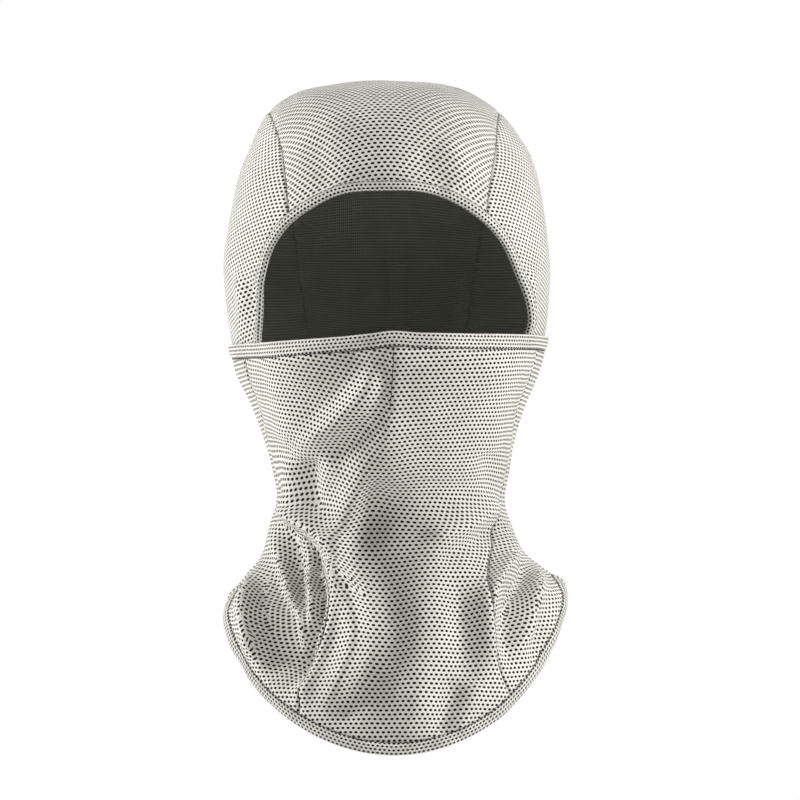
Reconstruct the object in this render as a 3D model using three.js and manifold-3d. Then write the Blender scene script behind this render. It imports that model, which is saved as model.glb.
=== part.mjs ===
// A lightweight full-face balaclava: a lined hood with a wide face opening, and over its sides a
// mask and neck tube that ends in a rounded bib. Millimetres, +Z up, the face looks along -Y, and
// left and right are the wearer's. The origin is on the crown, where the wearer's head holds it.
import * as THREE from 'three';
import { mergeVertices } from 'three/addons/utils/BufferGeometryUtils.js';
import Module from 'manifold-3d';

const wasm = await Module();
wasm.setup();

// Driving dimensions.
const GAP = 0.3;             // clearance between pieces that touch
const CLOTH = 1.0;           // thickness of one layer of knit
const SECTION_POWER = 2.1;   // how square a horizontal section is, 2 being an ellipse
const COLUMNS = 40;          // steps round the garment
const RIM_ROWS = 5;          // steps from the base of the neck down to the bottom hem
// Steps along each outline and seam.
const STEPS = { opening: 44, mask: 18, crown: 30, front: 34, side: 26, nape: 24, middle: 6 };

// The worn shape: height, half width, reach to the front and reach to the back.
const STATIONS = [
  [2, 0, 0, 0],
  [1, 22, 29, 33],
  [-3, 42, 54, 60],
  [-12, 57, 72, 78],
  [-24, 66.5, 83, 89],
  [-42, 75, 91, 97],
  [-64, 80, 95, 101],
  [-90, 83.2, 99, 99],
  [-112, 82, 106, 92],
  [-130, 79.5, 111, 83],
  [-147, 75.5, 110, 75],
  [-164, 69, 105, 68],
  [-180, 64.5, 99, 62],
  [-196, 60, 89, 57],
  [-211, 57.5, 77, 55],
  [-226, 61.5, 72, 58],
  [-240, 66.5, 74, 65],
  [-250, 75, 77, 70],
  [-258, 83, 80, 74],
  [-266, 88, 83, 77],
  [-285, 90, 88, 82],
  [-310, 90, 93, 87],
  [-345, 90, 98, 92],
];
const NECK_STATION = 16;

// Layers of cloth, as distances outwards from the worn shape.
const HOOD = { outside: 0, inside: -CLOTH };
const LINING = { outside: -CLOTH - GAP, inside: -2 * CLOTH - GAP };
const TUBE = { outside: 0.8 + CLOTH, inside: 0.8 };

// Face opening, half of its outline from the brow down to the chin, as x and z.
const OPENING_HALF = [
  [0, -55], [20, -56], [35, -61.5], [49, -71], [59, -83], [64.5, -97], [68, -112], [69, -128],
  [64, -143], [57, -157], [50, -171], [40, -184], [25, -193], [0, -197],
];
const BINDING = { width: 6, outside: -0.95, inside: -2.7 };
const BINDING_STITCH = { fromEdge: 4.6, outside: -0.15, inside: -0.65 };
const THREAD = 0.9;          // width of a row of stitching or a closed seam
const HOOD_SEAM = [-0.9, -0.1];      // the crown and chin seams, as distances outwards
const PROUD = 0.2;           // how far the tube's stitching stands out of its cloth

// Mask: its top edge stands highest over the nose and runs level round to the ears.
const MASK_EDGE_HALF = [[0, -125.4], [12, -126.9], [33, -128.6], [70, -131], [130, -134]];
const MASK_HEM = { height: 7, leaf: 0.8, hollow: 1.2, backEnd: 14 };
const ELASTIC = { height: 4.4, thickness: 0.6, drop: 1.4 };
const DART_LENGTH = 31;

// Front seams, as x and z of the front view. The cloth is worn skewed, so they are not a pair.
const LEFT_FRONT_SEAM = [
  [75.5, -128], [74, -136], [71, -149], [64, -175], [57.5, -204], [55.5, -213], [52, -228],
  [47.5, -245], [45.5, -258], [47, -272], [49.5, -289], [53.5, -301], [59.5, -312], [66, -322],
];
const RIGHT_FRONT_SEAM = [
  [-74.5, -128], [-73, -136], [-70.3, -147], [-64.5, -172], [-57.5, -204], [-54.5, -213],
  [-46, -232], [-36, -248], [-31, -258], [-34.5, -277], [-39, -289], [-44.5, -301], [-46.5, -313],
  [-47, -345],
];
// Side seam, as the angle round from +X (the wearer's left) and the height.
const SIDE_SEAM = [[12.5, -118], [13, -160], [17, -205], [15, -235], [11, -262], [11, -290]];
const NAPE = { sideY: 17, sideZ: -134, slope: -26 / 55, lap: 6 };
const FLAP_BOTTOM = -213;    // where the hood's cheek flaps are caught into the neck
// The crown seams run front to back, as the angle over the head and the distance from its middle.
const CROWN_SEAM = [
  [-86, 50], [-70, 50.5], [-45, 55], [-15, 58.5], [10, 59], [45, 56], [75, 50], [100, 45], [122, 40],
  [142, 36],
];
const HEAD_CENTRE = -90;     // height of the axis that the crown seams' angles turn about
const NAPE_SEAM = { from: 20, turn: 140, places: 9, passes: 12, height: 0.8, above: 0.1 };

// Bottom hem: highest over the shoulders, lowest in the middle of the chest and of the back.
const BIB = { shoulder: -260, frontDrop: 80, backDrop: 48, round: 0.3 };
const HEM = { height: 6, outside: 2.2, inside: 0.4 };

const COLOURS = {
  shell: 0xb9b7ae,
  binding: 0xa9a79e,
  lining: 0x33332e,
  thread: 0x55544c,
  elastic: 0x2a2a28,
};

// Reaches of the shapes that cut the garment, all well clear of it.
const FAR = 150;
const BEHIND = 40;
const ABOVE = 50;
const BELOW = -360;
const THROUGH = { inside: 2, outside: 1.2 };
const REACH = 160;           // longest ray from inside the garment to its cloth
const SEARCH_STEPS = 36;     // halvings when a place on the worn shape is searched for
const CENTRE = 10;           // a piece whose middle is this near the middle plane spans it
const SCRAP = 50;            // volume of the largest offcut that a cut leaves

const sideLine = new THREE.SplineCurve(STATIONS.map(([z, side]) => new THREE.Vector2(side, z)));
const frontLine = new THREE.SplineCurve(STATIONS.map(([z, , front]) => new THREE.Vector2(front, z)));
const backLine = new THREE.SplineCurve(STATIONS.map(([z, , , back]) => new THREE.Vector2(back, z)));
const LAST = STATIONS.length - 1;

// Half width, reaches and height of the section at a place along the stations.
function section(place) {
  const t = THREE.MathUtils.clamp(place / LAST, 0, 1);
  const side = sideLine.getPoint(t);
  return { z: side.y, side: side.x, front: frontLine.getPoint(t).x, back: backLine.getPoint(t).x };
}

// The place along the stations that lies at a height.
function placeAt(z) {
  let low = 0;
  let high = LAST;
  for (let step = 0; step < SEARCH_STEPS; step += 1) {
    const middle = (low + high) / 2;
    if (section(middle).z > z) low = middle;
    else high = middle;
  }
  return (low + high) / 2;
}

// A point of the worn shape, at an angle round it and a place along the stations.
function surfacePoint(angle, place) {
  const { z, side, front, back } = section(place);
  const round = (value) => Math.sign(value) * Math.abs(value) ** (2 / SECTION_POWER);
  const across = round(Math.cos(angle));
  const along = round(Math.sin(angle));
  return new THREE.Vector3(side * across, along * (along < 0 ? front : back), z);
}

// How far inside (below 0) or outside (above 0) the worn shape a point lies, as a ratio.
function outsideness(point) {
  const { side, front, back } = section(placeAt(point.z));
  const reach = point.y < 0 ? front : back;
  const across = (Math.abs(point.x) / side) ** SECTION_POWER;
  const along = (Math.abs(point.y) / reach) ** SECTION_POWER;
  return (across + along) ** (1 / SECTION_POWER) - 1;
}

// The outward direction at a point of the worn shape.
function normalAt(point) {
  const step = 0.5;
  const slope = (axis) => {
    const ahead = point.clone().addScaledVector(axis, step);
    const behind = point.clone().addScaledVector(axis, -step);
    return outsideness(ahead) - outsideness(behind);
  };
  const slopes = [[1, 0, 0], [0, 1, 0], [0, 0, 1]].map((axis) => slope(new THREE.Vector3(...axis)));
  return new THREE.Vector3(...slopes).normalize();
}

// The point of the worn shape that a ray from inside it meets.
function rayPoint(from, direction) {
  let low = 0;
  let high = REACH;
  for (let step = 0; step < SEARCH_STEPS; step += 1) {
    const middle = (low + high) / 2;
    const point = from.clone().addScaledVector(direction, middle);
    if (point.z < 2 && outsideness(point) < 0) low = middle;
    else high = middle;
  }
  return from.clone().addScaledVector(direction, low);
}

// A closed geometry as a solid, turned so that its faces point out.
function solid(geometry) {
  geometry.deleteAttribute('normal');
  geometry.deleteAttribute('uv');
  const merged = mergeVertices(geometry, 1e-4);
  const corners = merged.attributes.position.array;
  const faces = Uint32Array.from(merged.index.array);
  const corner = (index) => new THREE.Vector3().fromArray(corners, 3 * index);
  const kept = [];
  let volume = 0;
  for (let at = 0; at < faces.length; at += 3) {
    const [a, b, c] = faces.slice(at, at + 3);
    if (a === b || b === c || c === a) continue;
    kept.push(a, b, c);
    volume += corner(a).dot(corner(b).cross(corner(c)));
  }
  if (volume < 0) kept.reverse();
  const vertProperties = Float32Array.from(corners);
  const triVerts = Uint32Array.from(kept);
  return new wasm.Manifold(new wasm.Mesh({ numProp: 3, vertProperties, triVerts }));
}

// How high the edge of the bottom hem is at an angle round the garment.
function hemHeight(angle) {
  const out = Math.min(1, Math.abs(Math.cos(angle)) ** (2 / SECTION_POWER));
  const turned = Math.sqrt(1 - out * out);
  const full = Math.hypot(1, BIB.round) - BIB.round;
  const drop = Math.sin(angle) < 0 ? BIB.frontDrop : BIB.backDrop;
  return BIB.shoulder - drop * (Math.hypot(turned, BIB.round) - BIB.round) / full;
}

// Rows of the garment, each giving the place along the stations for an angle.
const bodyRows = Array.from({ length: NECK_STATION + 1 }, (unused, station) => () => station);
const neckHeight = STATIONS[NECK_STATION][0];

function rimRows(above) {
  return Array.from({ length: RIM_ROWS }, (unused, row) => (angle) => {
    const share = (row + 1) / RIM_ROWS;
    return placeAt(neckHeight + share * (hemHeight(angle) + above - neckHeight));
  });
}

// One layer of cloth round the whole garment. Rows that start at the crown close over it.
function layer(rows, { outside, inside }) {
  const down = rows.map((row) => ({ row, offset: outside }));
  const up = rows.map((row) => ({ row, offset: inside })).reverse();
  const profile = [...down, ...up];
  const capped = rows[0] === bodyRows[0];
  if (!capped) profile.push(profile[0]);
  const circle = profile.map((unused, at) => new THREE.Vector2(1, at));
  const geometry = new THREE.LatheGeometry(circle, COLUMNS);
  const position = geometry.attributes.position;
  for (let vertex = 0; vertex < position.count; vertex += 1) {
    const { row, offset } = profile[vertex % profile.length];
    const angle = 2 * Math.PI * ((Math.floor(vertex / profile.length) % COLUMNS) / COLUMNS);
    const point = surfacePoint(angle, row(angle));
    const normal = capped && row === rows[0] ? new THREE.Vector3(0, 0, 1) : normalAt(point);
    position.setXYZ(vertex, ...point.addScaledVector(normal, offset).toArray());
  }
  return solid(geometry);
}

const wholeRows = [...bodyRows, ...rimRows(HEM.height + THREAD + 2 * GAP)];

// A prism from an outline in the front view, reaching from one y to another.
function frontPrism(outline, fromY, toY) {
  const shape = new THREE.Shape(outline.map(([x, z]) => new THREE.Vector2(x, z)));
  const geometry = new THREE.ExtrudeGeometry(shape, { depth: toY - fromY, bevelEnabled: false });
  return solid(geometry.rotateX(Math.PI / 2).translate(0, toY, 0));
}

// A prism from an outline of y and z in the side view, right through the garment.
function sidePrism(outline) {
  const shape = new THREE.Shape(outline.map(([y, z]) => new THREE.Vector2(y, z)));
  const geometry = new THREE.ExtrudeGeometry(shape, { depth: 2 * FAR, bevelEnabled: false });
  const turn = new THREE.Matrix4().makeBasis(
    new THREE.Vector3(0, 1, 0),
    new THREE.Vector3(0, 0, 1),
    new THREE.Vector3(1, 0, 0),
  );
  return solid(geometry.translate(0, 0, -FAR).applyMatrix4(turn));
}

const mirrored = (half) => [...half.slice(1).reverse().map(([x, z]) => [-x, z]), ...half];

function smooth(points, count, closed = false) {
  const curve = new THREE.CatmullRomCurve3(points, closed, 'centripetal');
  const spaced = curve.getSpacedPoints(count);
  return closed ? spaced.slice(0, -1) : spaced;
}

// The frame of a line that lies on the worn shape: along it, across it in the cloth, and out of it.
function lineFrames(points, closed = false) {
  return points.map((point, at) => {
    const count = points.length;
    const ahead = points[closed ? (at + 1) % count : Math.min(at + 1, count - 1)];
    const behind = points[closed ? (at + count - 1) % count : Math.max(at - 1, 0)];
    const normal = normalAt(point);
    const across = ahead.clone().sub(behind).cross(normal).normalize();
    return { point, normal, across };
  });
}

// A strip of cloth or thread along a line: across and out are its two edges in each direction.
function strip(frames, across, out) {
  const steps = frames.length - 1;
  const geometry = new THREE.BoxGeometry(1, 1, 1, steps, 1, 1);
  const position = geometry.attributes.position;
  for (let vertex = 0; vertex < position.count; vertex += 1) {
    const frame = frames[Math.round((position.getX(vertex) + 0.5) * steps)];
    const sideways = position.getY(vertex) < 0 ? across[0] : across[1];
    const outwards = position.getZ(vertex) < 0 ? out[0] : out[1];
    const place = frame.point.clone().addScaledVector(frame.across, sideways);
    position.setXYZ(vertex, ...place.addScaledVector(frame.normal, outwards).toArray());
  }
  return solid(geometry);
}

// The same strip along a line that closes on itself.
function loopStrip(frames, across, out) {
  const count = frames.length;
  const edges = [[0, 0], [1, 0], [1, 1], [0, 1]];
  const geometry = new THREE.TorusGeometry(1, 0.3, edges.length, count);
  const position = geometry.attributes.position;
  for (let vertex = 0; vertex < position.count; vertex += 1) {
    const frame = frames[vertex % (count + 1) % count];
    const [sideways, outwards] = edges[Math.floor(vertex / (count + 1)) % edges.length];
    const place = frame.point.clone().addScaledVector(frame.across, across[sideways]);
    position.setXYZ(vertex, ...place.addScaledVector(frame.normal, out[outwards]).toArray());
  }
  return solid(geometry);
}

const THREAD_ACROSS = [-THREAD / 2, THREAD / 2];
const SLIT_ACROSS = [-THREAD / 2 - GAP, THREAD / 2 + GAP];
const throughCloth = ({ outside, inside }) => [inside - THROUGH.inside, outside + THROUGH.outside];

// A line on the garment from angles round it and heights, on the wearer's left (1) or right (-1).
function heightLine(seam, hand, count) {
  const flat = smooth(seam.map(([angle, z]) => new THREE.Vector3(angle, z, 0)), count);
  const points = flat.map(({ x: degrees, y: z }) => {
    const angle = THREE.MathUtils.degToRad(degrees);
    const direction = new THREE.Vector3(hand * Math.cos(angle), Math.sin(angle), 0);
    return rayPoint(new THREE.Vector3(0, 0, z), direction);
  });
  return lineFrames(points);
}

function crownLine(hand) {
  const places = CROWN_SEAM.map(([angle, x]) => new THREE.Vector3(angle, x, 0));
  const flat = smooth(places, STEPS.crown);
  const points = flat.map(({ x: degrees, y: distance }) => {
    const angle = THREE.MathUtils.degToRad(degrees);
    const direction = new THREE.Vector3(0, Math.sin(angle), Math.cos(angle));
    return rayPoint(new THREE.Vector3(hand * distance, 0, HEAD_CENTRE), direction);
  });
  return lineFrames(points);
}

// The point on the front of the worn shape at an x and z of the front view.
function frontPoint(x, z) {
  return rayPoint(new THREE.Vector3(x, 0, z), new THREE.Vector3(0, -1, 0));
}

// A line on the front through places given as x and z.
function frontLineThrough(places, count) {
  const flat = smooth(places.map(([x, z]) => new THREE.Vector3(x, z, 0)), count);
  return lineFrames(flat.map(({ x, y }) => frontPoint(x, y)));
}

// A line down the middle of the front from one height to another.
function middleLine(top, bottom) {
  return frontLineThrough([[0, top], [0, bottom]], STEPS.middle);
}

// The hood's own edge: cheek flaps in front of the side seams, and the nape behind them.
function hoodRegion(shrink) {
  const napeAt = (y) => NAPE.sideZ + NAPE.slope * (y - NAPE.sideY) - NAPE.lap + shrink;
  const flapBack = NAPE.sideY - 2 - shrink;
  return sidePrism([
    [-FAR, ABOVE],
    [FAR, ABOVE],
    [FAR, napeAt(FAR)],
    [flapBack, napeAt(NAPE.sideY)],
    [flapBack, FLAP_BOTTOM + shrink],
    [-FAR, FLAP_BOTTOM + shrink],
  ]);
}

const openingOutline = smooth(
  mirrored(OPENING_HALF).slice(1).map(([x, z]) => new THREE.Vector3(x, z, 0)),
  STEPS.opening,
  true,
).map(({ x, y }) => [x, y]);
const openingPrism = frontPrism(openingOutline, -FAR, 0);
const openingFrames = lineFrames(openingOutline.map(([x, z]) => frontPoint(x, z)), true);
// The binding lies on the cloth's side of the opening's edge, so its direction across points there.
const openingMiddle = frontPoint(0, (OPENING_HALF[0][1] + OPENING_HALF.at(-1)[1]) / 2);
const awayFromOpening = Math.sign(
  openingFrames[0].across.dot(openingFrames[0].point.clone().sub(openingMiddle)),
);
const bindingAcross = [0, awayFromOpening * BINDING.width];
const bindingCut = [-awayFromOpening, awayFromOpening * (BINDING.width + GAP)];
const binding = loopStrip(openingFrames, bindingAcross, [BINDING.inside, BINDING.outside]);
const bindingSlot = loopStrip(openingFrames, bindingCut, [LINING.inside - 1, HOOD.outside + 1]);
const bindingStitch = loopStrip(
  openingFrames,
  [BINDING_STITCH.fromEdge, BINDING_STITCH.fromEdge + THREAD].map((edge) => awayFromOpening * edge),
  [BINDING_STITCH.inside, BINDING_STITCH.outside],
);

// The hood and its lining.
const crownLines = [crownLine(1), crownLine(-1)];
const crownSeams = crownLines.map((frames) => strip(frames, THREAD_ACROSS, HOOD_SEAM));
const crownSlits = crownLines.map((frames) => strip(frames, SLIT_ACROSS, throughCloth(HOOD)));
const hoodShell = layer(wholeRows, HOOD)
  .intersect(hoodRegion(0))
  .subtract(openingPrism)
  .subtract(bindingSlot);
const chinLine = middleLine(OPENING_HALF.at(-1)[1], FLAP_BOTTOM - 3);
const chinSeam = strip(chinLine, THREAD_ACROSS, HOOD_SEAM);
const hoodSlits = [...crownSlits, strip(chinLine, SLIT_ACROSS, throughCloth(HOOD))];
const seamTrim = hoodRegion(1).subtract(bindingSlot).subtract(openingPrism);
const hoodPanels = hoodSlits.reduce((shell, slit) => shell.subtract(slit), hoodShell).decompose();
const lining = layer(wholeRows, LINING)
  .intersect(hoodRegion(2))
  .subtract(openingPrism)
  .subtract(bindingSlot);

// The mask and neck tube.
const maskEdge = smooth(
  mirrored(MASK_EDGE_HALF).map(([x, z]) => new THREE.Vector3(x, z, 0)),
  STEPS.mask,
).map(({ x, y }) => [x, y]);

// Everything in front of a y and below the mask's top edge lowered by a drop.
function belowMask(drop, toY) {
  const lowered = maskEdge.map(([x, z]) => [x, z - drop]);
  const last = lowered.length - 1;
  return frontPrism([...lowered, [lowered[last][0], BELOW], [lowered[0][0], BELOW]], -FAR, toY);
}

const hemRegion = belowMask(0, MASK_HEM.backEnd).subtract(belowMask(MASK_HEM.height, BEHIND));
const leafInside = TUBE.inside + MASK_HEM.leaf;
const leafOutside = leafInside + MASK_HEM.hollow;
const maskHem = layer(wholeRows, { outside: leafOutside + MASK_HEM.leaf, inside: TUBE.inside })
  .intersect(hemRegion)
  .subtract(
    layer(wholeRows, { outside: leafOutside, inside: leafInside })
      .intersect(belowMask(MASK_HEM.leaf, BEHIND)),
  );
const elasticInside = leafInside + (MASK_HEM.hollow - ELASTIC.thickness) / 2;
const elasticOutside = elasticInside + ELASTIC.thickness;
const elastic = layer(wholeRows, { outside: elasticOutside, inside: elasticInside })
  .intersect(belowMask(ELASTIC.drop, MASK_HEM.backEnd - 1))
  .subtract(belowMask(ELASTIC.drop + ELASTIC.height, BEHIND));

const stitchTop = MASK_HEM.height + GAP;
const panelTop = stitchTop + THREAD + GAP;
const proudOfTube = { outside: TUBE.outside + PROUD, inside: TUBE.inside };
const maskStitching = layer(wholeRows, proudOfTube)
  .intersect(belowMask(stitchTop, MASK_HEM.backEnd))
  .subtract(belowMask(stitchTop + THREAD, BEHIND));

const sideLines = [heightLine(SIDE_SEAM, 1, STEPS.side), heightLine(SIDE_SEAM, -1, STEPS.side)];
const frontLines = [LEFT_FRONT_SEAM, RIGHT_FRONT_SEAM].map(
  (places) => frontLineThrough(places, STEPS.front),
);
const dartTop = MASK_EDGE_HALF[0][1] - panelTop;
const dartLine = middleLine(dartTop, dartTop - DART_LENGTH);
const seamOut = [proudOfTube.inside, proudOfTube.outside];
const bibRegion = sidePrism([
  [-FAR, -100],
  [NAPE.sideY, NAPE.sideZ],
  [FAR, NAPE.sideZ + NAPE.slope * (FAR - NAPE.sideY)],
  [FAR, BELOW],
  [-FAR, BELOW],
]);
// The part of the tube that lies behind the side seams has no mask, so only its front is cut down.
const frontHalf = frontPrism(
  [[-FAR, ABOVE], [FAR, ABOVE], [FAR, BELOW], [-FAR, BELOW]],
  -FAR,
  NAPE.sideY,
);
const tubeRegion = bibRegion.subtract(frontHalf.subtract(belowMask(panelTop, NAPE.sideY)));
const tubeSlits = [...sideLines, ...frontLines, dartLine].map(
  (frames) => strip(frames, SLIT_ACROSS, throughCloth(TUBE)),
);
const tubePanels = tubeSlits
  .reduce((shell, slit) => shell.subtract(slit), layer(wholeRows, TUBE).intersect(tubeRegion))
  .decompose();
const tubeOnly = layer(wholeRows, { outside: 8, inside: -3 }).intersect(tubeRegion);
const tubeSeam = (frames) => strip(frames, THREAD_ACROSS, seamOut).intersect(tubeOnly);
const sideSeams = sideLines.map(tubeSeam);
const frontSeams = frontLines.map(tubeSeam);
const dartSeam = strip(dartLine.slice(0, -1), THREAD_ACROSS, seamOut);

// Nape seam: stitching along the top edge of the back panel, on the hood.
const napeDirections = Array.from({ length: NAPE_SEAM.places }, (unused, at) => {
  const share = at / (NAPE_SEAM.places - 1);
  const angle = THREE.MathUtils.degToRad(NAPE_SEAM.from + NAPE_SEAM.turn * share);
  return new THREE.Vector3(Math.cos(angle), Math.sin(angle), 0);
});
const napeLine = lineFrames(smooth(napeDirections, STEPS.nape).map((direction) => {
  let point = rayPoint(new THREE.Vector3(0, 0, NAPE.sideZ), direction.clone().normalize());
  for (let pass = 0; pass < NAPE_SEAM.passes; pass += 1) {
    const edge = NAPE.sideZ + NAPE.slope * (point.y - NAPE.sideY);
    const z = edge + GAP + THREAD / 2 + NAPE_SEAM.above;
    point = rayPoint(new THREE.Vector3(0, 0, z), direction.clone().normalize());
  }
  return point;
}));
const napeSeam = strip(napeLine, THREAD_ACROSS, [TUBE.inside, TUBE.inside + NAPE_SEAM.height]);

// Bottom hem and its stitching.
const hemRow = (above) => (angle) => placeAt(hemHeight(angle) + above);
const bottomHem = layer([hemRow(HEM.height), hemRow(HEM.height / 2), hemRow(0)], HEM);
const hemStitching = layer(
  [hemRow(HEM.height + GAP + THREAD), hemRow(HEM.height + GAP)],
  proudOfTube,
);

// Each piece of a cut shell, found by where its middle lies.
function middle(piece) {
  const { min, max } = piece.boundingBox();
  return { x: (min[0] + max[0]) / 2, y: (min[1] + max[1]) / 2 };
}

function pick(pieces, wanted) {
  return pieces.filter((piece) => piece.volume() > SCRAP).find((piece) => wanted(middle(piece)));
}

const group = new THREE.Group();

function add(name, piece, colour, roughness = 0.9) {
  const { vertProperties, triVerts } = piece.getMesh();
  const corners = new THREE.BufferAttribute(Float32Array.from(vertProperties), 3);
  const geometry = new THREE.BufferGeometry();
  geometry.setAttribute('position', corners);
  geometry.setIndex(new THREE.BufferAttribute(Uint32Array.from(triVerts), 1));
  const material = new THREE.MeshStandardMaterial({ color: colour, roughness, metalness: 0 });
  const part = new THREE.Mesh(geometry, material);
  part.name = name;
  group.add(part);
}

add('crown_panel', pick(hoodPanels, ({ x }) => Math.abs(x) < CENTRE), COLOURS.shell);
add('left_hood_panel', pick(hoodPanels, ({ x }) => x > CENTRE), COLOURS.shell);
add('right_hood_panel', pick(hoodPanels, ({ x }) => x < -CENTRE), COLOURS.shell);
add('hood_lining', lining, COLOURS.lining);
add('face_opening_binding', binding, COLOURS.binding);
add('face_binding_stitching', bindingStitch, COLOURS.thread);
add('left_crown_seam', crownSeams[0].intersect(seamTrim), COLOURS.thread);
add('right_crown_seam', crownSeams[1].intersect(seamTrim), COLOURS.thread);
add('chin_seam', chinSeam.intersect(seamTrim), COLOURS.thread);
add('front_panel', pick(tubePanels, ({ x, y }) => Math.abs(x) < CENTRE && y < 0), COLOURS.shell);
add('left_neck_panel', pick(tubePanels, ({ x }) => x > CENTRE), COLOURS.shell);
add('right_neck_panel', pick(tubePanels, ({ x }) => x < -CENTRE), COLOURS.shell);
add('back_panel', pick(tubePanels, ({ x, y }) => Math.abs(x) < CENTRE && y > 0), COLOURS.shell);
add('left_front_seam', frontSeams[0], COLOURS.thread);
add('right_front_seam', frontSeams[1], COLOURS.thread);
add('left_side_seam', sideSeams[0], COLOURS.thread);
add('right_side_seam', sideSeams[1], COLOURS.thread);
add('nape_seam', napeSeam, COLOURS.thread);
add('nose_dart_seam', dartSeam, COLOURS.thread);
add('mask_top_hem', maskHem, COLOURS.binding);
add('mask_hem_elastic', elastic, COLOURS.elastic, 0.7);
add('mask_hem_stitching', maskStitching, COLOURS.thread);
add('bottom_hem', bottomHem, COLOURS.binding);
add('bottom_hem_stitching', hemStitching, COLOURS.thread);

export default group;
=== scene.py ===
"""A lightweight balaclava in pin-dot knit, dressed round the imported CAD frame.

Left and right are the wearer's: left is +X, and the face looks along -Y. Lengths here are millimetres
unless a name ends in _M, and each mesh is turned into the frame's metres as it is made.
"""
import math

import bpy
import numpy as np
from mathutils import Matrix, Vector, geometry


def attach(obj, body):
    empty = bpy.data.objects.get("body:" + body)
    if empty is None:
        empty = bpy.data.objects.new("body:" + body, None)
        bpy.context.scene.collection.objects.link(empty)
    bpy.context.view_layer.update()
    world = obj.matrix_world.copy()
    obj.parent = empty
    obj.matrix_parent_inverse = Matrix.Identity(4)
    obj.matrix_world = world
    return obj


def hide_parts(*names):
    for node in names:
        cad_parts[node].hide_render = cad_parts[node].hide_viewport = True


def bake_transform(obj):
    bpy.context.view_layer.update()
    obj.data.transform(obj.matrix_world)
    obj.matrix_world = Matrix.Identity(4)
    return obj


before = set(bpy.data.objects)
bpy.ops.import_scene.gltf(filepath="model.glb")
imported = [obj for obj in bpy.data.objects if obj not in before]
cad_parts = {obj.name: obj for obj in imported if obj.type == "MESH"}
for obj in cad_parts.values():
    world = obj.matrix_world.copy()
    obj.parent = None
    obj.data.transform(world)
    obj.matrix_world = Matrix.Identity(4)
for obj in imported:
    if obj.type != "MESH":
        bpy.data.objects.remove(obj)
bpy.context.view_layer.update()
MM = 0.001

# ---- the worn shape, as in the CAD

SECTION_POWER = 2.1
# Height, half width, reach to the front and reach to the back.
STATIONS = [
    (2, 0, 0, 0), (1, 22, 29, 33), (-3, 42, 54, 60), (-12, 57, 72, 78), (-24, 66.5, 83, 89),
    (-42, 75, 91, 97), (-64, 80, 95, 101), (-90, 83.2, 99, 99), (-112, 82, 106, 92),
    (-130, 79.5, 111, 83), (-147, 75.5, 110, 75), (-164, 69, 105, 68), (-180, 64.5, 99, 62),
    (-196, 60, 89, 57), (-211, 57.5, 77, 55), (-226, 61.5, 72, 58), (-240, 66.5, 74, 65),
    (-250, 75, 77, 70), (-258, 83, 80, 74), (-266, 88, 83, 77), (-285, 90, 88, 82),
    (-310, 90, 93, 87), (-345, 90, 98, 92),
]
TOP = 2
HOOD_OUT = 0.0          # outside of the hood's cloth, out of the worn shape
LINING_OUT = -1.3
TUBE_OUT = 1.8
CLOTH_THICK = 0.7

OPENING_HALF = [
    (0, -55), (20, -56), (35, -61.5), (49, -71), (59, -83), (64.5, -97), (68, -112), (69, -128),
    (64, -143), (57, -157), (50, -171), (40, -184), (25, -193), (0, -197),
]
MASK_EDGE_HALF = [(0, -126.2), (12, -127.3), (33, -128.4), (70, -129.6), (130, -133)]
MASK_HEM = 7.0
MASK_ENDS = 10.5        # the mask's hem ends this many degrees behind the sides
MASK_TILT = 2.2         # its left end is worn higher than its right by twice this
DART_LENGTH = 31
# The seams between the front and the neck panels, as x and z of the front view: the cloth is worn
# skewed, so the wearer's left and right ones lie differently.
LEFT_FRONT_SEAM = [
    (75.5, -128), (74, -136), (71, -149), (64, -175), (57.5, -204), (55.5, -213), (52, -228), (47.5, -245),
    (45.5, -258), (47, -272), (49.5, -289), (53.5, -301), (59.5, -312), (66, -322),
]
RIGHT_FRONT_SEAM = [
    (-74.5, -128), (-73, -136), (-70.3, -147), (-64.5, -172), (-57.5, -204), (-54.5, -213), (-46, -232),
    (-36, -248), (-31, -258), (-34.5, -277), (-39, -289), (-44.5, -301), (-46.5, -313), (-47, -345),
]
SIDE_SEAM = [(12.5, -118), (13, -160), (17, -205), (15, -235), (11, -262), (11, -290)]
NAPE_Y, NAPE_Z, NAPE_SLOPE = 17, -134, -26 / 55
NAPE_LAP = 6
FLAP_BACK, FLAP_TURN = 15, 14      # the back edge of the cheek flap, as y and as an angle past it
FLAP_BOTTOM = -226
# The crown seams, as the angle over the head and the distance from its middle plane.
CROWN_SEAM = [
    (-86, 50), (-70, 50.5), (-45, 55), (-15, 58.5), (10, 59), (45, 56), (75, 50), (100, 45),
    (122, 40), (142, 36),
]
HEAD_CENTRE = -90
HEM = 6.0
HEM_SHOULDER, HEM_FRONT_DROP, HEM_BACK_DROP, HEM_ROUND = -260, 80, 48, 0.3
FOOT = -345.0            # where the worn shape ends


def spline(rows, steps):
    """Rows sampled along the uniform spline through them, steps times between each two."""
    rows = np.array(rows, float)
    padded = np.vstack([rows[:1], rows, rows[-1:]])
    t = np.linspace(0, 1, steps, endpoint=False)[:, None]
    spans = []
    for before, start, end, after in zip(padded, padded[1:], padded[2:], padded[3:]):
        leave = (end - before) / 2
        arrive = (after - start) / 2
        cubic = 2 * start - 2 * end + leave + arrive
        square = 3 * end - 3 * start - 2 * leave - arrive
        spans.append(cubic * t**3 + square * t**2 + leave * t + start)
    return np.vstack([*spans, rows[-1:]])


SHAPE = spline(STATIONS, 48)
LEAST_WIDTH = 0.5
NORMAL_STEP = 0.5
FAR_OUT = 160.0          # farther than any point of the worn shape from its inside
HALVINGS = 34


def unit(rows):
    """Directions of length one."""
    return rows / np.linalg.norm(rows, axis=1)[:, None]


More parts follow.
